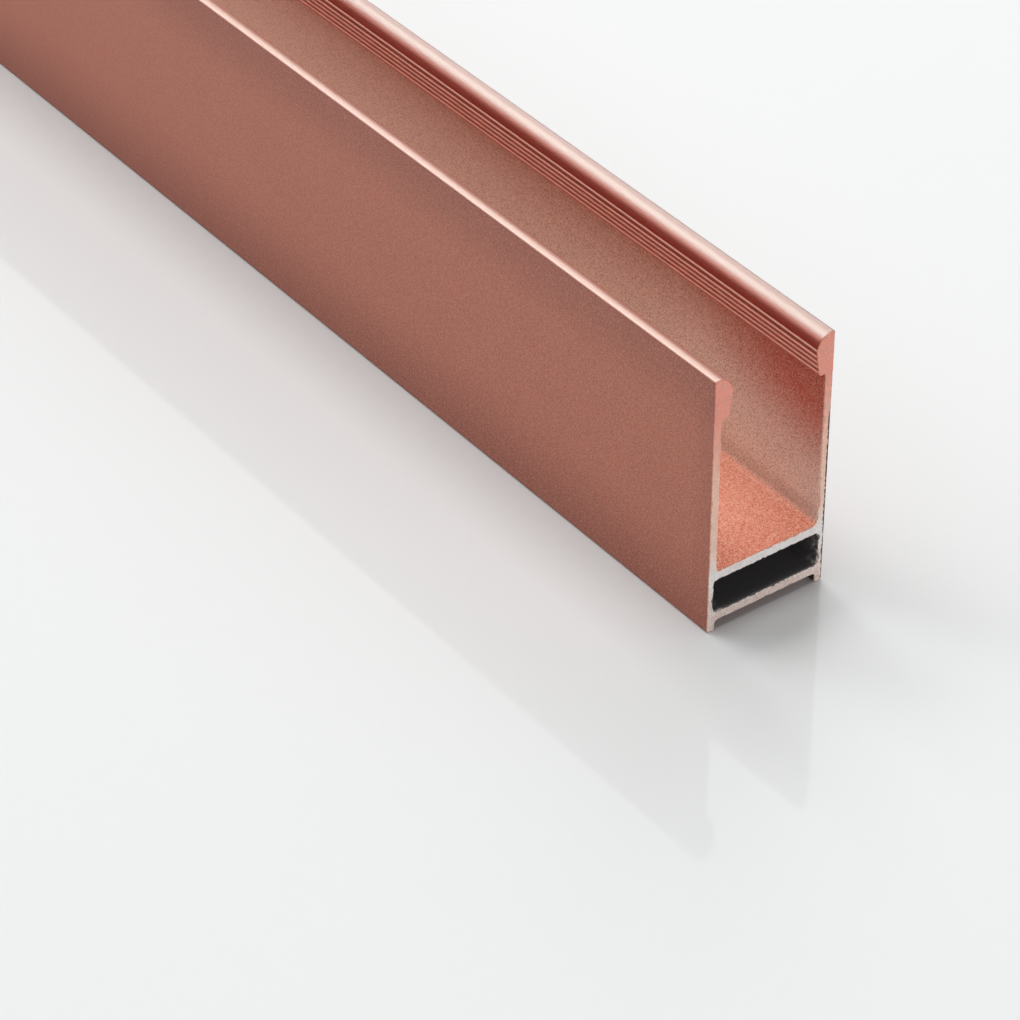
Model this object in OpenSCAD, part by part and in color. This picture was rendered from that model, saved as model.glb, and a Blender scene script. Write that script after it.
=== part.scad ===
// Aluminium edge profile, extruded in one piece and sawn square at both ends.
// Two thin walls stand on a flat hollow chamber and leave a channel that is open at the top.
// Each wall ends in an inward lip, rounded over its top and with fine ribs along its leaning inner
// face, and runs on below the chamber as a small foot.
// Millimetres: X across the channel, Y along the bar, Z up from the feet.

/* [Bar] */
// Length of the bar between its sawn ends
bar_length = 1000; // [100:50:6000]
// Width over the outer faces of the two walls
bar_width = 18; // [13:0.5:40]
// Height from the feet to the top of the lips
bar_height = 37; // [20:0.5:80]

/* [Walls and webs] */
// Thickness of the side walls and of the feet below them
wall_thickness = 1.2; // [0.8:0.1:1.6]
// Thickness of the side walls beside the chamber
chamber_wall = 0.9; // [0.6:0.1:1.6]
// Thickness of the channel floor, above the chamber
floor_thickness = 1.4; // [0.8:0.1:3]
// Thickness of the web below the chamber
base_thickness = 1.4; // [0.8:0.1:3]
// Clear height of the hollow chamber
chamber_height = 4.7; // [2.2:0.1:12]
// Height of the feet below the base web
foot_height = 1.4; // [0.9:0.1:4]

/* [Lips] */
// How far a lip reaches in from the outer face of its wall
lip_reach = 2.7; // [2.6:0.1:5]
// Height of a lip, from its underside to the top of the bar
lip_height = 5.8; // [5.4:0.1:10]
// Radius over the inner top edge of a lip
lip_round = 2.3; // [1.2:0.1:2.3]
// Angle by which the inner face of a lip leans back towards its wall, in degrees
lip_lean = 9; // [0:1:12]
// Radius along the lower inner edge of a lip
lip_toe_radius = 0.4; // [0.1:0.05:0.5]

/* [Grip ribs] */
// Number of ribs along each lip
rib_count = 5; // [0:1:5]
// Distance from one rib to the next
rib_pitch = 0.8; // [0.6:0.02:0.86]
// How far the first rib lies up the round, above the leaning face
rib_lead = 0.7; // [0:0.05:1]
// Width of a rib at the face of the lip
rib_width = 0.3; // [0.2:0.02:0.4]
// Height of a rib over the face of the lip
rib_height = 0.12; // [0.05:0.01:0.15]

/* [Fillets and edges] */
// Fillet between the channel floor and the walls
floor_fillet = 0.8; // [0.2:0.1:3]
// Fillet between the underside of a lip and its wall
lip_fillet = 0.2; // [0.1:0.05:0.3]
// Radius in the corners of the chamber
chamber_radius = 0.6; // [0.2:0.1:2]
// Fillet between the base web and the feet
foot_fillet = 0.4; // [0.1:0.05:0.5]
// Radius on both edges of a foot
foot_radius = 0.35; // [0.1:0.05:0.38]
// Radius along the outer top edge of each wall
edge_radius = 0.3; // [0.1:0.05:0.6]

/* [Hidden] */
$fn = 96;

// Reach of a cutting shape past the face that it meets
overlap = 0.5;

// Heights of the levels of the section, from the feet up
base_level = foot_height;
chamber_floor = base_level + base_thickness;
chamber_ceiling = chamber_floor + chamber_height;
channel_floor = chamber_ceiling + floor_thickness;
lip_underside = bar_height - lip_height;

// Distances of the wall's faces from the middle of the bar
outer_face = bar_width / 2;
inner_face = outer_face - wall_thickness;
chamber_face = outer_face - chamber_wall;

// Sharp corners of a lip before they are rounded: the top one is set so that the rounded lip
// has its full reach, and the toe lies below it on the leaning face
round_middle = outer_face - lip_reach + lip_round;
lip_corner = [round_middle - lip_round / tan((90 - lip_lean) / 2), bar_height];
lip_toe = lip_corner + lip_height * [tan(lip_lean), -1];

// Middle of the round over the lip, and the place where it runs out into the leaning face
round_centre = [round_middle, bar_height - lip_round];
round_end = round_centre + lip_round * heading(180 + lip_lean);

// Radius of a rib's round back
rib_radius = (pow(rib_width / 2, 2) + pow(rib_height, 2)) / (2 * rib_height);

// Unit vector at an angle from the X axis
function heading(angle) = [cos(angle), sin(angle)];

// The sliver between a sharp corner and the arc that rounds it, for edges that leave the corner
// at two given angles. Taken off a shape it rounds that corner.
module corner_sliver(corner, first_angle, second_angle, radius) {
    half_angle = (second_angle - first_angle) / 2;
    middle = first_angle + half_angle;
    reach = radius / tan(half_angle);
    centre = corner + radius / sin(half_angle) * heading(middle);
    difference() {
        polygon([
            centre,
            corner + reach * heading(first_angle),
            corner - overlap * heading(middle),
            corner + reach * heading(second_angle)
        ]);
        translate(centre) circle(radius);
    }
}

// A rectangle across the middle of the bar, between two heights
module band(width, bottom, top) {
    translate([-width / 2, bottom]) square([width, top - bottom]);
}

// Draws a shape of the right-hand side on both sides
module both_sides() {
    children();
    mirror([1, 0]) children();
}

// The right-hand lip with sharp corners, reaching into its wall
module lip() {
    inside_wall = inner_face + wall_thickness / 2;
    polygon([
        lip_corner,
        lip_toe,
        [inside_wall, lip_underside],
        [inside_wall, bar_height + overlap],
        [lip_corner.x, bar_height + overlap]
    ]);
}

// The open channel between the walls, narrowed by the ribbed lips and filleted along its floor
module channel() {
    difference() {
        band(2 * inner_face, channel_floor, bar_height + overlap);
        both_sides() {
            lip();
            grip_ribs();
            corner_sliver([inner_face, lip_underside], 180, 270, lip_fillet);
            corner_sliver([inner_face, channel_floor], 90, 180, floor_fillet);
        }
    }
}

// The closed hollow below the channel floor
module chamber() {
    difference() {
        band(2 * chamber_face, chamber_floor, chamber_ceiling);
        both_sides() {
            corner_sliver([chamber_face, chamber_ceiling], 180, 270, chamber_radius);
            corner_sliver([chamber_face, chamber_floor], 90, 180, chamber_radius);
        }
    }
}

// The shallow gap between the feet
module foot_gap() {
    difference() {
        band(2 * inner_face, -overlap, base_level);
        both_sides() corner_sliver([inner_face, base_level], 180, 270, foot_fillet);
    }
}

// What the rounded outside corners of the right-hand half lose
module roundings() {
    corner_sliver([outer_face, bar_height], 180, 270, edge_radius);
    corner_sliver(lip_corner, 270 + lip_lean, 360, lip_round);
    corner_sliver(lip_toe, 0, 90 + lip_lean, lip_toe_radius);
    corner_sliver([inner_face, 0], 0, 90, foot_radius);
    corner_sliver([outer_face, 0], 90, 180, foot_radius);
}

// One rib that faces the channel, with the middle of its foot at the origin
module rib() {
    translate([rib_radius - rib_height, 0]) circle(rib_radius);
}

// The ribs of the right-hand lip, from the foot of its round down its leaning face
module grip_ribs() {
    for (row = [0 : 1 : rib_count - 1]) {
        run = row * rib_pitch - rib_lead;
        turn = lip_lean + min(run, 0) / lip_round * 180 / PI;
        spot = run < 0
            ? round_centre + lip_round * heading(180 + turn)
            : round_end + run * heading(270 + lip_lean);
        translate(spot) rotate(turn) rib();
    }
}

// The whole cross-section, seen along the bar
module section() {
    difference() {
        band(bar_width, 0, bar_height);
        channel();
        chamber();
        foot_gap();
        both_sides()
            difference() {
                roundings();
                grip_ribs();
            }
    }
}

// The bar: rose-tinted, satin anodised aluminium
module profile() {
    color("#b5826f")
        rotate([90, 0, 0])
            linear_extrude(bar_length, center = true)
                section();
}

profile();
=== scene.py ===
import math
from types import SimpleNamespace

import bpy
from mathutils import Matrix, Vector


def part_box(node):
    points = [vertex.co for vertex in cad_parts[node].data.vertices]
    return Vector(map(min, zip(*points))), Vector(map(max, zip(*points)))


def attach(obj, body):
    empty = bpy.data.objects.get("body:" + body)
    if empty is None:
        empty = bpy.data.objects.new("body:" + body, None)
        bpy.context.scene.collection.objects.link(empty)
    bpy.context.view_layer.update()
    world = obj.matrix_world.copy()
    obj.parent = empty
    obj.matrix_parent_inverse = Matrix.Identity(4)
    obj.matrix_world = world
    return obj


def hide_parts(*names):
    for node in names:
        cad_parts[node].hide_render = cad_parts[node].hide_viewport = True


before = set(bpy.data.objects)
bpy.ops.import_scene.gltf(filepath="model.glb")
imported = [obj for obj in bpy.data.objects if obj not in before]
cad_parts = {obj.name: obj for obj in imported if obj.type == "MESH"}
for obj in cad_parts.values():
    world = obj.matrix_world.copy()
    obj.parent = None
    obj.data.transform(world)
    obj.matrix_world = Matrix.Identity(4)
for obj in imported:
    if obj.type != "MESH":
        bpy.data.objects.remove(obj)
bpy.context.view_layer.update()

# The bar's overall sizes come from the frame, in metres
MM = 0.001
low, high = (Vector(corner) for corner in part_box("profile"))
LENGTH = high.y - low.y
OUTER_FACE = (high.x - low.x) / 2
HEIGHT = high.z - low.z
FRONT_END = low.y

# Sizes of the section that the die gives the bar
WALL = 1.2 * MM
CHAMBER_WALL = 0.9 * MM
FLOOR_WEB = 1.4 * MM
BASE_WEB = 1.4 * MM
CHAMBER_HEIGHT = 4.7 * MM
FOOT_HEIGHT = 1.4 * MM
LIP_REACH = 2.7 * MM
LIP_HEIGHT = 5.8 * MM
LIP_ROUND = 2.3 * MM
LIP_LEAN = math.radians(9)
LIP_TOE_RADIUS = 0.4 * MM
LIP_FILLET = 0.2 * MM
RIB_COUNT = 5
RIB_PITCH = 0.8 * MM
RIB_LEAD = 0.7 * MM
RIB_WIDTH = 0.3 * MM
RIB_HEIGHT = 0.12 * MM
FLOOR_FILLET = 0.8 * MM
CHAMBER_RADIUS = 0.6 * MM
FOOT_FILLET = 0.4 * MM
FOOT_RADIUS = 0.35 * MM
EDGE_RADIUS = 0.3 * MM

# Levels of the section, from the feet up, and the inner faces of its walls
CHAMBER_FLOOR = FOOT_HEIGHT + BASE_WEB
CHAMBER_CEILING = CHAMBER_FLOOR + CHAMBER_HEIGHT
CHANNEL_FLOOR = CHAMBER_CEILING + FLOOR_WEB
LIP_UNDERSIDE = HEIGHT - LIP_HEIGHT
INNER_FACE = OUTER_FACE - WALL
CHAMBER_FACE = OUTER_FACE - CHAMBER_WALL

# Middle of the round over a lip, and the place where it runs out into the leaning face
LIP_CENTRE = Vector((OUTER_FACE - LIP_REACH + LIP_ROUND, HEIGHT - LIP_ROUND))
LIP_ROUND_END = LIP_CENTRE - LIP_ROUND * Vector((math.cos(LIP_LEAN), math.sin(LIP_LEAN)))

# The saw cut: how far it lies inside the stated length, how far its rim is worn, at most how many
# times over, and the sizes of the rim's small chips and larger nicks
SAW_ALLOWANCE = 0.1 * MM
EDGE_WEAR = 0.125 * MM
WEAR_LIMIT = 3.0
CHIP_SIZE = 0.4 * MM
NICK_SIZE = 1.3 * MM
SEED = 7

# The strips along a cut that the saw left bare or tore, how deep into the right wall the tear and its
# painted shade show, and the heights between which it sets in
BARE_STRIP = SAW_ALLOWANCE + 0.7 * EDGE_WEAR
TORN_STRIP = SAW_ALLOWANCE + 0.95 * EDGE_WEAR
TORN_DEPTH = 0.6 * MM
TORN_TOP = 30 * MM
TORN_FULL = 22 * MM

# How finely the bar is drawn: rings along it, steps along its rim, round its arcs in degrees and over
# a rib, and the angle from which an edge stays crisp
RINGS = 16
RIM_STEP = 0.14 * MM
ARC_STEP = 7
ARC_LEAD = 0.03 * MM
RIB_STEPS = 10
MERGE_DISTANCE = 0.001 * MM
CRISP_ANGLE = math.radians(17)

# Sizes in the finishes, and the margin between a face and the bounds of its finish
CLOUD_SIZE = 14 * MM
GRAIN_SIZE = 0.14 * MM
SPECK_SIZE = 0.1 * MM
SPECK_CLUSTER = 0.18 * MM
MOTTLE_SIZE = 0.9 * MM
GRIT_SIZE = 0.12 * MM
PIT_SIZE = 0.16 * MM
SAW_MARK = 2.2 * MM
RELIEF_DEPTH = 0.02 * MM
MARGIN = 0.05 * MM

# The stage: half the floor's width, the lamps' distance from the place that they face, and the light
# from all round
FLOOR_REACH = 24.0
LAMP_DISTANCE = 14.0
LAMP_AIM = Vector((0, FRONT_END + 0.1, 0))
WORLD_LIGHT = 0.1

# The camera, fitted to the bar's edges in the photograph
LENS_MM = 143.28
SENSOR_MM = 36
NEAREST_SEEN = 0.01
CAMERA_FROM_END = Vector((-254.75, -292.44, 306.70)) * MM
CAMERA_AIM = Vector((0.47440, 0.64162, -0.60272))


class Socket:
    """An output of a node. Arithmetic on it adds Math nodes to the same tree."""

    def __init__(self, tree, output):
        self.tree = tree
        self.output = output

    def node(self, kind, settings=None, inputs=None, output=0):
        """Adds a node: its settings are set first, then the values or links of its sockets."""
        made = self.tree.nodes.new(kind)
        for name, value in (settings or {}).items():
            if name == "stops":
                set_stops(made.color_ramp, value)
            else:
                setattr(made, name, value)
        for key, value in (inputs or {}).items():
            target = pick(made.inputs, key)
            for part in value if isinstance(value, list) else [value]:
                if isinstance(part, Socket):
                    self.tree.links.new(part.output, target)
                else:
                    target.default_value = part
        return Socket(self.tree, pick(made.outputs, output)) if made.outputs else None

    def also(self, output):
        """Another output of the same node."""
        return Socket(self.tree, pick(self.output.node.outputs, output))

    def math(self, operation, *values):
        return self.node("ShaderNodeMath", {"operation": operation}, dict(enumerate(values)))

    def __add__(self, other):
        return self.math("ADD", self, other)

    def __radd__(self, other):
        return self.math("ADD", other, self)

    def __sub__(self, other):
        return self.math("SUBTRACT", self, other)

    def __rsub__(self, other):
        return self.math("SUBTRACT", other, self)

    def __mul__(self, other):
        return self.math("MULTIPLY", self, other)

    def __rmul__(self, other):
        return self.math("MULTIPLY", other, self)

    def __truediv__(self, other):
        return self.math("DIVIDE", self, other)

    def __abs__(self):
        return self.math("ABSOLUTE", self)

    def above(self, other):
        return self.math("GREATER_THAN", self, other)

    def below(self, other):
        return self.math("LESS_THAN", self, other)

    def ramp(self, start, end, first=0.0, last=1.0):
        """A smooth change from first to last, between two values of this socket."""
        inputs = {"Value": self, "From Min": start, "From Max": end, "To Min": first, "To Max": last}
        return self.node("ShaderNodeMapRange", {"interpolation_type": "SMOOTHSTEP"}, inputs)

    def noise(self, size, detail=2.0, roughness=0.5):
        """Soft noise from 0 to 1 on this vector, with features of that size in metres."""
        inputs = {"Vector": self, "Scale": 1 / size, "Detail": detail, "Roughness": roughness}
        return self.node("ShaderNodeTexNoise", {}, inputs)

    def grains(self, size):
        """A level from 0 to 1 for each grain of that size in metres."""
        inputs = {"Vector": self, "Scale": 1 / size}
        shade = self.node("ShaderNodeTexVoronoi", {}, inputs, "Color")
        return shade.xyz()[0]

    def mix(self, first, second):
        """The colour that lies between two others by this factor."""
        inputs = {"Factor": self, "A": first, "B": second}
        return self.node("ShaderNodeMix", {"data_type": "RGBA"}, inputs, "Result")

    def xyz(self):
        """The three parts of this vector."""
        x = self.node("ShaderNodeSeparateXYZ", {}, {"Vector": self}, "X")
        return x, x.also("Y"), x.also("Z")


def pick(sockets, key):
    """A socket by its place, or the one in use that has this name."""
    if isinstance(key, int):
        return sockets[key]
    return next(s for s in sockets if s.enabled and s.name == key)


def set_stops(color_ramp, stops):
    """Gives a colour ramp its stops, as pairs of place and colour."""
    while len(color_ramp.elements) < len(stops):
        color_ramp.elements.new(0.5)
    for element, (place, colour) in zip(color_ramp.elements, stops):
        element.position = place
        element.color = colour


def start_material(name):
    """A new material with an empty tree, and its Object coordinates."""
    material = bpy.data.materials.new(name)
    material.use_nodes = True
    tree = material.node_tree
    tree.nodes.clear()
    coordinates = tree.nodes.new("ShaderNodeTexCoord")
    return material, Socket(tree, coordinates.outputs["Object"])


def finish_material(surface):
    surface.node("ShaderNodeOutputMaterial", {}, {"Surface": surface})


def colour(red, green, blue):
    """A colour given 0 to 255 as a screen shows it, in Blender's linear values."""
    def linear(level):
        level = level / 255
        return level / 12.92 if level <= 0.04045 else ((level + 0.055) / 1.055) ** 2.4
    return (linear(red), linear(green), linear(blue), 1.0)


# Finishes

def bar_place(place):
    """Where a point of the bar lies: across, up, below its top and away from the nearer cut."""
    across, along, up = place.xyz()
    return SimpleNamespace(
        across=across, reach=abs(across), up=up, depth=HEIGHT - up, from_cut=LENGTH / 2 - abs(along))


def speckled(tint, specks, dark_share, dark, light_share, light):
    """A tint strewn with dark and light specks."""
    tint = (specks.dark * dark_share).mix(tint, dark)
    return (specks.light * light_share).mix(tint, light)


def outside_tint(place, spot, specks, tear_and_shade):
    """An even rose with painted shade towards its top and bottom edges, deeper towards the cuts, with
    painted shade where the saw tore the edge and on the right foot's inner side near the cuts.
    """
    deep_rose = colour(150, 60, 40)
    clouds = place.noise(CLOUD_SIZE, 3.0, 0.55)
    tint = clouds.ramp(0.3, 0.7, 0.0, 0.25).mix(colour(196, 101, 73), colour(208, 114, 85))
    # Painted shade: darker towards the bottom and the top of the outer wall.
    edges = spot.up.ramp(0, 14 * MM, 0.75, 0.1) + spot.depth.ramp(10 * MM, 1 * MM, 0.0, 0.6)
    tint = edges.mix(tint, deep_rose)
    tint = spot.from_cut.ramp(0, 5 * MM, 0.35, 0.0).mix(tint, deep_rose)
    tint = speckled(tint, specks, 0.5, colour(110, 44, 30), 0.5, colour(226, 150, 124))
    # Painted shade on the edge that the saw tore.
    tint = tear_and_shade.mix(tint, colour(58, 40, 35))
    # Painted shade on the right foot's inner side next to the cuts.
    right_foot_shade = spot.across.above(0) * spot.across.below(OUTER_FACE - TORN_DEPTH)
    right_foot_shade = right_foot_shade * spot.up.below(FOOT_HEIGHT - MARGIN)
    return (right_foot_shade * spot.from_cut.below(2 * MM)).mix(tint, colour(44, 28, 22))


def rib_rise(spot):
    """How far a lip's surface stands proud of its round and of its leaning face."""
    aside = spot.reach - LIP_CENTRE.x
    over = spot.up - LIP_CENTRE.y
    over_round = aside.math("SQRT", aside * aside + over * over) - LIP_ROUND
    over_face = (LIP_ROUND_END.x - spot.reach) * math.cos(LIP_LEAN)
    over_face = over_face + (LIP_ROUND_END.y - spot.up) * math.sin(LIP_LEAN)
    on_round = spot.up.above(LIP_ROUND_END.y)
    return on_round * over_round + (1 - on_round) * over_face


def lip_tint(spot, proud, bare):
    """The lips: painted shade deepens them where they roll into the channel, painted highlights pale the
    ribs' crests and the left lip's top.
    """
    # Painted shade: deep red where the lip rolls into the channel, paler lower down.
    tint = spot.depth.ramp(2 * MM, 3 * MM).mix(colour(116, 20, 10), colour(160, 71, 56))
    tint = spot.depth.ramp(5 * MM, 5.6 * MM).mix(tint, colour(196, 108, 86))
    # Painted highlight on top of the left lip.
    left_top_highlight = spot.across.below(0) * spot.depth.ramp(1.6 * MM, 0.8 * MM)
    tint = left_top_highlight.mix(tint, colour(182, 118, 101))
    # Painted highlight along the ribs' crests, weaker on the first rib.
    crest_highlight = proud.ramp(0.3 * RIB_HEIGHT, 0.8 * RIB_HEIGHT) * spot.reach.below(LIP_CENTRE.x)
    crest_highlight = crest_highlight * spot.depth.ramp(1.6 * MM, 2.4 * MM, 0.45, 1.0)
    tint = crest_highlight.mix(tint, colour(252, 206, 190))
    return bare.mix(tint, colour(220, 142, 122))


def channel_tint(spot, specks):
    """The channel: walls with painted shade that makes them redder and darker under the lips, redder near
    the cuts, over a salmon floor with a painted highlight along its edges.
    """
    sink = LIP_UNDERSIDE - spot.up
    # Painted shade: both the far and the near walls grow darker and redder towards the lips above.
    far = sink.ramp(0, 15 * MM).mix(colour(218, 168, 150), colour(250, 240, 228))
    far = spot.from_cut.ramp(30 * MM, 250 * MM, 0.0, 0.7).mix(far, colour(250, 238, 228))
    near = sink.ramp(4 * MM, 20 * MM).mix(colour(200, 86, 66), colour(254, 224, 208))
    past_red = (spot.from_cut + 0.8 * sink).ramp(6 * MM, 32 * MM)
    wall = past_red.mix(near, far)
    # A greyer band along the wall just above the floor.
    band_above_floor = spot.up.ramp(CHANNEL_FLOOR + 2.0 * MM, CHANNEL_FLOOR + 3.4 * MM, 0.5, 0.0)
    wall = band_above_floor.mix(wall, colour(208, 188, 174))
    wall = speckled(wall, specks, 0.7, colour(126, 62, 48), 0.4 + 0.3 * past_red, colour(255, 232, 216))
    floor = spot.from_cut.ramp(0, 10 * MM).mix(colour(234, 134, 106), colour(244, 160, 134))
    # Painted highlight along the floor's edges, in the fillets.
    floor_edge_highlight = spot.reach.ramp(INNER_FACE - 0.8 * MM, INNER_FACE, 0.0, 0.6)
    floor = floor_edge_highlight.mix(floor, colour(255, 206, 182))
    floor = speckled(floor, specks, 0.85, colour(190, 84, 60), 0.85, colour(255, 214, 190))
    on_floor = spot.up.ramp(CHANNEL_FLOOR + 0.3 * MM, CHANNEL_FLOOR + 0.7 * MM, 1.0, 0.0)
    return on_floor.mix(wall, floor)


def rose_anodised():
    """Satin aluminium under a rose tinted anodic layer, coarser and paler inside the channel."""
    material, place = start_material("rose_anodised")
    spot = bar_place(place)
    fine = place.noise(GRAIN_SIZE, 2.0, 0.6)
    speck = 0.65 * place.grains(SPECK_SIZE) + 0.35 * place.noise(SPECK_CLUSTER, 2.0, 0.6)
    close = spot.from_cut.ramp(30 * MM, 200 * MM, 1.0, 0.3)
    specks = SimpleNamespace(light=speck.ramp(0.5, 0.15) * close, dark=speck.ramp(0.5, 0.85) * close)

    # Where the saw tore the rim, which carries painted shade, or bared it, and where the lips, their ribs
    # and the channel lie
    tear_and_shade = spot.across.above(OUTER_FACE - TORN_DEPTH) * spot.from_cut.below(TORN_STRIP)
    tear_and_shade = tear_and_shade * spot.up.ramp(TORN_TOP, TORN_FULL)
    bare = spot.from_cut.below(BARE_STRIP) * (1 - tear_and_shade)
    on_lip = spot.reach.below(OUTER_FACE - 0.02 * MM) * spot.up.above(LIP_UNDERSIDE)
    proud = rib_rise(spot)
    on_rib = proud.ramp(0.1 * RIB_HEIGHT, 0.4 * RIB_HEIGHT) * spot.reach.below(LIP_CENTRE.x)
    inside = spot.reach.below(INNER_FACE + MARGIN) * spot.up.above(CHANNEL_FLOOR - MARGIN)
    inside = inside * spot.up.below(LIP_UNDERSIDE + MARGIN)

    outside = (0.7 * bare).mix(outside_tint(place, spot, specks, tear_and_shade), colour(228, 184, 166))
    walls = inside.mix(outside, channel_tint(spot, specks))
    lips = lip_tint(spot, proud, bare)
    relief = fine * (0.5 + on_lip * 0.7) + speck * (0.3 + inside * 0.7 + on_lip * 0.5)
    bump = {"Strength": 0.5, "Distance": RELIEF_DEPTH, "Height": relief}
    bump = place.node("ShaderNodeBump", {}, bump, "Normal")
    grain = fine.ramp(0.2, 0.8, 0.36, 0.44)

    def lip_finish(level, shine):
        return place.node("ShaderNodeBsdfPrincipled", {}, {
            "Base Color": lips,
            "IOR": 2.4,
            "Specular IOR Level": level,
            "Specular Tint": shine,
            "Roughness": grain - 0.05,
            "Normal": bump,
        })

    # Walls have a dull shine. The lips shine on top, and mirror the channel in the layer's own tint
    # where they roll into it
    dull = place.node("ShaderNodeBsdfPrincipled", {}, {
        "Base Color": on_lip.mix(walls, lips),
        "IOR": 1.8,
        "Specular Tint": (1.0, 0.8, 0.66, 1.0),
        "Roughness": grain + inside * 0.25 + (tear_and_shade + on_rib * on_lip) * 0.3,
        "Normal": bump,
    })
    bright = lip_finish(0.6, (1.0, 0.92, 0.82, 1.0))
    tinted = lip_finish(0.84, (1.0, 0.42, 0.33, 1.0))
    roll = spot.depth.ramp(0.25 * MM, 0.9 * MM)
    lip = bright.node("ShaderNodeMixShader", {}, {0: roll, 1: bright, 2: tinted})
    polish = on_lip * (1 - on_rib) * (1 - bare)
    surface = lip.node("ShaderNodeMixShader", {}, {0: polish, 1: dull, 2: lip})
    finish_material(surface)
    return material


def sawn_aluminium():
    """The bare cut: silver at the webs, tinted towards the lips, with fine saw marks."""
    material, place = start_material("sawn_aluminium")
    _, _, up = place.xyz()
    mottle = place.noise(MOTTLE_SIZE, 4.0, 0.6)
    grit = place.noise(GRIT_SIZE, 2.0, 0.6)
    marks = place.node("ShaderNodeTexWave", {"wave_type": "BANDS", "bands_direction": "Z"}, {
        "Vector": place, "Scale": 1 / SAW_MARK, "Distortion": 3.0, "Detail": 2.0, "Detail Scale": 1.5})
    tint = up.node("ShaderNodeValToRGB", {"stops": [
        (0.0, colour(253, 227, 214)),
        (0.22, colour(253, 252, 251)),
        (0.32, colour(253, 214, 191)),
        (0.6, colour(253, 194, 168)),
        (0.84, colour(244, 136, 110)),
    ]}, {"Fac": up / HEIGHT})
    tint = mottle.ramp(0.35, 0.75, 0.0, 0.3).mix(tint, colour(200, 160, 146))
    tint = grit.ramp(0.3, 0.75, 0.0, 0.35).mix(tint, colour(250, 238, 230))
    pits = place.grains(PIT_SIZE).ramp(0.55, 0.95, 0.0, 0.4) * up.ramp(7 * MM, 3 * MM, 0.4, 1.0)
    tint = pits.mix(tint, colour(170, 130, 116))
    bump = {"Strength": 0.35, "Distance": RELIEF_DEPTH, "Height": marks * 0.4 + grit}
    bump = place.node("ShaderNodeBump", {}, bump, "Normal")
    surface = place.node("ShaderNodeBsdfPrincipled", {}, {
        "Base Color": tint,
        "Metallic": 0.25,
        "Roughness": mottle.ramp(0.3, 0.7, 0.42, 0.55),
        "Normal": bump,
    })
    finish_material(surface)
    return material


def chamber_painted_shade():
    """The inside of the chamber, painted dark as shade, scuffed grey close to the saw cuts."""
    material, place = start_material("chamber_painted_shade")
    spot = bar_place(place)
    patches = place.noise(MOTTLE_SIZE, 5.0, 0.7)
    left_corner = spot.across.ramp(2.5 * MM - CHAMBER_FACE, 0.7 * MM - CHAMBER_FACE)
    left_corner = left_corner * spot.up.ramp(CHAMBER_FLOOR + 1.2 * MM, CHAMBER_FLOOR + 0.4 * MM)
    rubbed = left_corner + spot.across.ramp(CHAMBER_FACE - 1.1 * MM, CHAMBER_FACE - 0.2 * MM)
    scuffs = patches.ramp(0.46, 0.62) * rubbed * spot.from_cut.ramp(0.2 * MM, 2.6 * MM, 1.0, 0.0)
    # Painted shade: a dark grey base stands in for the shade inside the chamber.
    surface = place.node("ShaderNodeBsdfPrincipled", {}, {
        "Base Color": scuffs.mix(colour(95, 92, 92), colour(196, 190, 186)),
        "Roughness": scuffs.ramp(0.0, 1.0, 0.55, 0.75),
        "Specular IOR Level": 0.2,
    })
    finish_material(surface)
    return material


def pale_floor():
    """A pale, smooth table top."""
    material, place = start_material("pale_floor")
    wear = place.noise(120 * MM, 3.0, 0.5)
    surface = place.node("ShaderNodeBsdfPrincipled", {}, {
        "Base Color": colour(223, 225, 225),
        "Roughness": wear.ramp(0.3, 0.7, 0.04, 0.06),
        "Specular IOR Level": 0.12,
    })
    finish_material(surface)
    return material


# The die's outline

def arc(centre, radius, start, end):
    """Points of an arc between two angles in degrees, with a point just before and just after it.

    Those two keep the flat faces beside the arc evenly shaded.
    """
    steps = max(2, math.ceil(abs(end - start) / ARC_STEP))
    turn = math.copysign(1, end - start)
    angles = [math.radians(start + (end - start) * i / steps) for i in range(steps + 1)]
    points = [Vector(centre) + radius * Vector((math.cos(a), math.sin(a))) for a in angles]
    first = Vector((-math.sin(angles[0]), math.cos(angles[0]))) * turn
    last = Vector((-math.sin(angles[-1]), math.cos(angles[-1]))) * turn
    return [points[0] - ARC_LEAD * first, *points, points[-1] + ARC_LEAD * last]


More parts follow.
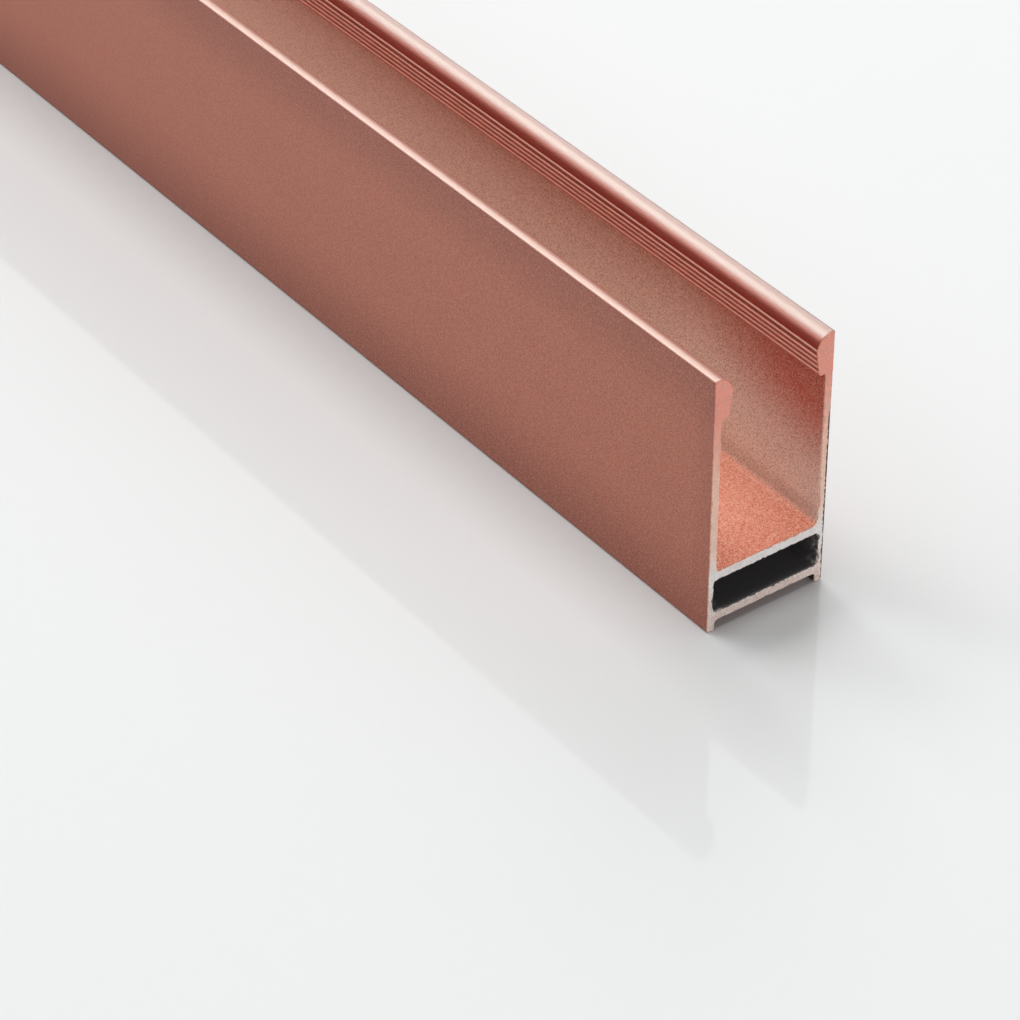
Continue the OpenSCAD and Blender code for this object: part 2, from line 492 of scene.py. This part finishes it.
def lip_points():
    """The right-hand lip from the top of the bar round to its underside, with its grip ribs."""
    half_foot = RIB_WIDTH / 2
    gap = RIB_PITCH - RIB_WIDTH
    rib_radius = (half_foot ** 2 + RIB_HEIGHT ** 2) / (2 * RIB_HEIGHT)
    rib_span = math.acos(1 - RIB_HEIGHT / rib_radius)

    def turn_at(run):
        return LIP_LEAN + min(run, 0) / LIP_ROUND

    def surface_at(run):
        """The lip's surface at a run down from the end of its round, or up on the round."""
        turn = turn_at(run)
        if run < 0:
            return LIP_CENTRE - LIP_ROUND * Vector((math.cos(turn), math.sin(turn)))
        return LIP_ROUND_END + run * Vector((math.sin(turn), -math.cos(turn)))

    runs = [row * RIB_PITCH - RIB_LEAD for row in range(RIB_COUNT)]
    points = arc(LIP_CENTRE, LIP_ROUND, 90, 180 + math.degrees(turn_at(runs[0] - half_foot)))[:-1]
    for run in runs:
        turn = turn_at(run)
        into_lip = Vector((math.cos(turn), math.sin(turn)))
        down_face = Vector((math.sin(turn), -math.cos(turn)))
        middle = surface_at(run) + (rib_radius - RIB_HEIGHT) * into_lip
        for step in range(RIB_STEPS + 1):
            swing = rib_span * (2 * step / RIB_STEPS - 1)
            points.append(middle - rib_radius * (math.cos(swing) * into_lip - math.sin(swing) * down_face))
        if run < 0:
            points += [surface_at(run + half_foot + gap * i / 4) for i in range(1, 4)]
    toe_height = LIP_UNDERSIDE + LIP_TOE_RADIUS
    toe_reach = (LIP_ROUND_END.y - toe_height) * math.tan(LIP_LEAN) + LIP_TOE_RADIUS / math.cos(LIP_LEAN)
    toe = (LIP_ROUND_END.x + toe_reach, toe_height)
    points += arc(toe, LIP_TOE_RADIUS, 180 + math.degrees(LIP_LEAN), 270)
    return points


def outer_outline():
    """The section's outer edge, anticlockwise, as points across and up."""
    right = []
    right += arc((INNER_FACE - FOOT_FILLET, FOOT_HEIGHT - FOOT_FILLET), FOOT_FILLET, 90, 0)
    right += arc((INNER_FACE + FOOT_RADIUS, FOOT_RADIUS), FOOT_RADIUS, 180, 270)
    right += arc((OUTER_FACE - FOOT_RADIUS, FOOT_RADIUS), FOOT_RADIUS, 270, 360)
    right += arc((OUTER_FACE - EDGE_RADIUS, HEIGHT - EDGE_RADIUS), EDGE_RADIUS, 0, 90)
    right += lip_points()
    right += arc((INNER_FACE - LIP_FILLET, LIP_UNDERSIDE - LIP_FILLET), LIP_FILLET, 90, 0)
    right += arc((INNER_FACE - FLOOR_FILLET, CHANNEL_FLOOR + FLOOR_FILLET), FLOOR_FILLET, 0, -90)
    return right + [Vector((-p.x, p.y)) for p in reversed(right)]


def chamber_outline():
    """The edge of the hollow chamber, clockwise."""
    across = CHAMBER_FACE - CHAMBER_RADIUS
    top = CHAMBER_CEILING - CHAMBER_RADIUS
    bottom = CHAMBER_FLOOR + CHAMBER_RADIUS
    right = arc((across, top), CHAMBER_RADIUS, 90, 0)
    right += arc((across, bottom), CHAMBER_RADIUS, 0, -90)
    return right + [Vector((-p.x, p.y)) for p in reversed(right)]


def stepped(points, step):
    """The same closed outline with more points, so that none lie further apart than a step."""
    finer = []
    for point, following in zip(points, points[1:] + points[:1]):
        count = max(1, math.ceil((following - point).length / step))
        finer += [point.lerp(following, i / count) for i in range(count)]
    return finer


def die():
    """A curve object with the section's two edges, flat on the XY plane."""
    outline = bpy.data.curves.new("die", "CURVE")
    outline.dimensions = "3D"
    for edge in (outer_outline(), chamber_outline()):
        points = stepped(edge, RIM_STEP)
        spline = outline.splines.new("POLY")
        spline.points.add(len(points) - 1)
        for spot, point in zip(spline.points, points):
            spot.co = (point.x, point.y, 0, 1)
        spline.use_cyclic_u = True
    die_object = bpy.data.objects.new("die", outline)
    bpy.context.scene.collection.objects.link(die_object)
    return die_object


# Geometry Nodes

def new_tree(name, inputs):
    """A geometry tree with these named inputs after its geometry, and a socket for each of them."""
    tree = bpy.data.node_groups.new(name, "GeometryNodeTree")
    tree.interface.new_socket("Geometry", in_out="INPUT", socket_type="NodeSocketGeometry")
    for label, kind in inputs.items():
        tree.interface.new_socket(label, in_out="INPUT", socket_type=f"NodeSocket{kind}")
    tree.interface.new_socket("Geometry", in_out="OUTPUT", socket_type="NodeSocketGeometry")
    start = tree.nodes.new("NodeGroupInput")
    return tree, {output.name: Socket(tree, output) for output in start.outputs if output.name}


def run_tree(maker, tree, values, name):
    """Runs a tree on an object and returns what it makes as a plain mesh object."""
    modifier = maker.modifiers.new(name, "NODES")
    modifier.node_group = tree
    for item in tree.interface.items_tree:
        if item.in_out == "INPUT" and item.name in values:
            modifier[item.identifier] = values[item.name]
    bpy.context.view_layer.update()
    evaluated = maker.evaluated_get(bpy.context.evaluated_depsgraph_get())
    mesh = bpy.data.meshes.new_from_object(evaluated)
    mesh.name = name
    maker.modifiers.remove(modifier)
    piece = bpy.data.objects.new(name, mesh)
    bpy.context.scene.collection.objects.link(piece)
    return piece


def store(geometry, name, value, domain):
    settings = {"data_type": "FLOAT", "domain": domain}
    return geometry.node(
        "GeometryNodeStoreNamedAttribute", settings, {"Geometry": geometry, "Name": name, "Value": value})


def read(geometry, name):
    return geometry.node("GeometryNodeInputNamedAttribute", {"data_type": "FLOAT"}, {"Name": name})


def draw_walls(given):
    """The section drawn along a path with a ring at each cut, two just inside it and even ones between."""
    section, length, wear = given["Geometry"], given["Length"], given["Edge wear"]
    last = given["Rings"] - 1
    index = section.node("GeometryNodeInputIndex")
    path = section.node("GeometryNodeCurvePrimitiveLine")
    path = path.node("GeometryNodeResampleCurve", {}, {"Curve": path, "Count": given["Rings"]})
    first_steps = index.math("MINIMUM", index, 2.0)
    last_steps = index.math("MINIMUM", last - index, 2.0)
    drawn = (index - 2) / (last - 4) * length
    drawn = drawn.math("MAXIMUM", drawn, first_steps * wear)
    drawn = drawn.math("MINIMUM", drawn, length - last_steps * wear)
    spot = drawn.node("ShaderNodeCombineXYZ", {}, {"Z": drawn})
    path = path.node("GeometryNodeSetPosition", {}, {"Geometry": path, "Position": spot})
    path = store(path, "rim", 1 - first_steps * last_steps, "POINT")
    section = store(section, "hollow", index, "CURVE")
    return path.node("GeometryNodeCurveToMesh", {}, {"Curve": path, "Profile Curve": section})


def on_rim(walls):
    return read(walls, "rim").above(0.9)


def wear_rims(walls, given):
    """Draws both rims in unevenly, most at the chamber and where the saw tore the right wall."""
    position = walls.node("GeometryNodeInputPosition")
    normal = walls.node("GeometryNodeInputNormal")
    across, height, _ = position.xyz()
    shifted = position.node("ShaderNodeVectorMath", {"operation": "ADD"}, {0: position, 1: given["Seed"]})
    chips = shifted.noise(CHIP_SIZE, 3.0, 0.7)
    nicks = shifted.noise(NICK_SIZE, 2.0, 0.6)
    torn = across.ramp(OUTER_FACE - 0.3 * MM, OUTER_FACE - 0.1 * MM) * height.ramp(TORN_TOP, TORN_FULL)
    frayed = across.above(INNER_FACE - 0.5 * MM) * height.above(CHANNEL_FLOOR) * height.below(LIP_UNDERSIDE)
    amount = chips.ramp(0.3, 0.75, 0.15, 1.1) + nicks.ramp(0.5, 0.72, 0.0, 1.3)
    amount = amount * (1 + 0.8 * read(walls, "hollow") + 1.2 * torn + 0.9 * frayed) + 0.8 * torn
    amount = amount.math("MINIMUM", amount, WEAR_LIMIT)
    inward = {0: normal, "Scale": -1 * amount * given["Edge wear"]}
    inward = normal.node("ShaderNodeVectorMath", {"operation": "SCALE"}, inward)
    return walls.node(
        "GeometryNodeSetPosition", {}, {"Geometry": walls, "Selection": on_rim(walls), "Offset": inward})


def close_cuts(walls, length):
    """Fills the two cuts inside their rims and joins them to the walls."""
    _, _, along = walls.node("GeometryNodeInputPosition").xyz()
    rim = on_rim(walls)
    far = along.above(length / 2)
    pieces = [store(walls, "sawn", 0.0, "FACE")]
    for at_far_end in (True, False):
        side = far if at_far_end else 1 - far
        edge = walls.node("GeometryNodeMeshToCurve", {}, {"Mesh": walls, "Selection": rim * side})
        cut = edge.node("GeometryNodeFillCurve", {"mode": "TRIANGLES"}, {"Curve": edge})
        if at_far_end:
            lift = length.node("ShaderNodeCombineXYZ", {}, {"Z": length})
            cut = cut.node("GeometryNodeSetPosition", {}, {"Geometry": cut, "Offset": lift})
        else:
            cut = cut.node("GeometryNodeFlipFaces", {}, {"Mesh": cut})
        pieces.append(store(cut, "sawn", 1.0, "FACE"))
    bar = walls.node("GeometryNodeJoinGeometry", {}, {"Geometry": pieces})
    return bar.node("GeometryNodeMergeByDistance", {}, {"Geometry": bar, "Distance": MERGE_DISTANCE})


def shade_and_lay(bar, length):
    """Smooths the faces but keeps crisp edges, and lays the bar along Y about its middle."""
    angle = bar.node("GeometryNodeInputMeshEdgeAngle")
    bar = bar.node("GeometryNodeSetShadeSmooth", {"domain": "FACE"}, {
        "Geometry": bar, "Shade Smooth": True})
    bar = bar.node("GeometryNodeSetShadeSmooth", {"domain": "EDGE"}, {
        "Geometry": bar, "Selection": angle.above(CRISP_ANGLE), "Shade Smooth": False})
    back = length.node("ShaderNodeCombineXYZ", {}, {"Y": length / 2})
    return bar.node("GeometryNodeTransform", {}, {
        "Geometry": bar, "Translation": back, "Rotation": (math.pi / 2, 0, 0)})


def bar_tree():
    """Draws the section along the bar, wears the rims of both saw cuts, closes them and gives finishes."""
    tree, given = new_tree("draw_bar", {
        "Length": "Float", "Rings": "Int", "Edge wear": "Float", "Seed": "Float",
        "Anodised": "Material", "Sawn": "Material", "Chamber": "Material"})
    walls = wear_rims(draw_walls(given), given)
    bar = shade_and_lay(close_cuts(walls, given["Length"]), given["Length"])
    bar = bar.node("GeometryNodeRealizeInstances", {}, {"Geometry": bar})
    bar = bar.node("GeometryNodeSetMaterial", {}, {"Geometry": bar, "Material": given["Anodised"]})
    for mark, finish in (("hollow", "Chamber"), ("sawn", "Sawn")):
        where = read(bar, mark).above(0.5)
        bar = bar.node("GeometryNodeSetMaterial", {}, {
            "Geometry": bar, "Selection": where, "Material": given[finish]})
    bar.node("NodeGroupOutput", {}, {"Geometry": bar})
    return tree


# The scene

def build_camera():
    camera = bpy.data.cameras.new("camera")
    camera.lens = LENS_MM
    camera.sensor_width = SENSOR_MM
    camera.clip_start = NEAREST_SEEN
    camera_object = bpy.data.objects.new("camera", camera)
    spot = Vector((0, FRONT_END, 0)) + CAMERA_FROM_END
    turn = CAMERA_AIM.to_track_quat("-Z", "Y").to_matrix().to_4x4()
    camera_object.matrix_world = Matrix.Translation(spot) @ turn
    bpy.context.scene.collection.objects.link(camera_object)
    bpy.context.scene.camera = camera_object


def build_floor():
    mesh = bpy.data.meshes.new("floor")
    corners = [(-1, -1), (1, -1), (1, 1), (-1, 1)]
    mesh.from_pydata([(x * FLOOR_REACH, y * FLOOR_REACH, 0) for x, y in corners], [], [(0, 1, 2, 3)])
    mesh.materials.append(pale_floor())
    floor = bpy.data.objects.new("floor", mesh)
    bpy.context.scene.collection.objects.link(floor)


def softbox(name, bearing, rise, width, height, radiance, mirrored=True):
    """A soft lamp that faces the front of the bar from a bearing off its line and a rise, in degrees.

    Its face has the given brightness, where 1 is white. A lamp that isn't mirrored lights the bar
    without showing as a bright patch in the floor.
    """
    level = math.cos(math.radians(rise))
    away = Vector((math.sin(math.radians(bearing)) * level, math.cos(math.radians(bearing)) * level,
                   math.sin(math.radians(rise))))
    lamp = bpy.data.lights.new(name, "AREA")
    lamp.shape = "RECTANGLE"
    lamp.size = width
    lamp.size_y = height
    lamp.energy = radiance * math.pi * width * height
    lamp_object = bpy.data.objects.new(name, lamp)
    turn = away.to_track_quat("Z", "Y").to_matrix().to_4x4()
    lamp_object.matrix_world = Matrix.Translation(LAMP_AIM + LAMP_DISTANCE * away) @ turn
    lamp_object.visible_camera = False
    lamp_object.visible_glossy = mirrored
    bpy.context.scene.collection.objects.link(lamp_object)


def build_light():
    world = bpy.data.worlds.new("studio")
    world.use_nodes = True
    background = world.node_tree.nodes["Background"]
    background.inputs["Color"].default_value = (1, 1, 1, 1)
    background.inputs["Strength"].default_value = WORLD_LIGHT
    bpy.context.scene.world = world
    softbox("key", bearing=-6, rise=48, width=8.4, height=5.25, radiance=6.8)
    softbox("key_wing", bearing=-40, rise=37, width=5.6, height=6.3, radiance=2.8)
    softbox("back_panel", bearing=38, rise=35, width=6.6, height=9.1, radiance=3.3)
    softbox("front_fill", bearing=182, rise=14, width=15.4, height=6.3, radiance=2.85, mirrored=False)
    softbox("top_light", bearing=0, rise=86, width=7.7, height=7.7, radiance=4.0)


def build_bar():
    """The whole bar as one plain mesh."""
    die_object = die()
    bar = run_tree(die_object, bar_tree(), {
        "Length": LENGTH - 2 * SAW_ALLOWANCE,
        "Rings": RINGS,
        "Edge wear": EDGE_WEAR,
        "Seed": float(SEED),
        "Anodised": rose_anodised(),
        "Sawn": sawn_aluminium(),
        "Chamber": chamber_painted_shade(),
    }, "bar")
    bpy.data.objects.remove(die_object)
    return bar


build_camera()
build_floor()
build_light()
bar = build_bar()
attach(bar, "root")
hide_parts("profile")

bpy.context.scene.view_settings.view_transform = "Standard"
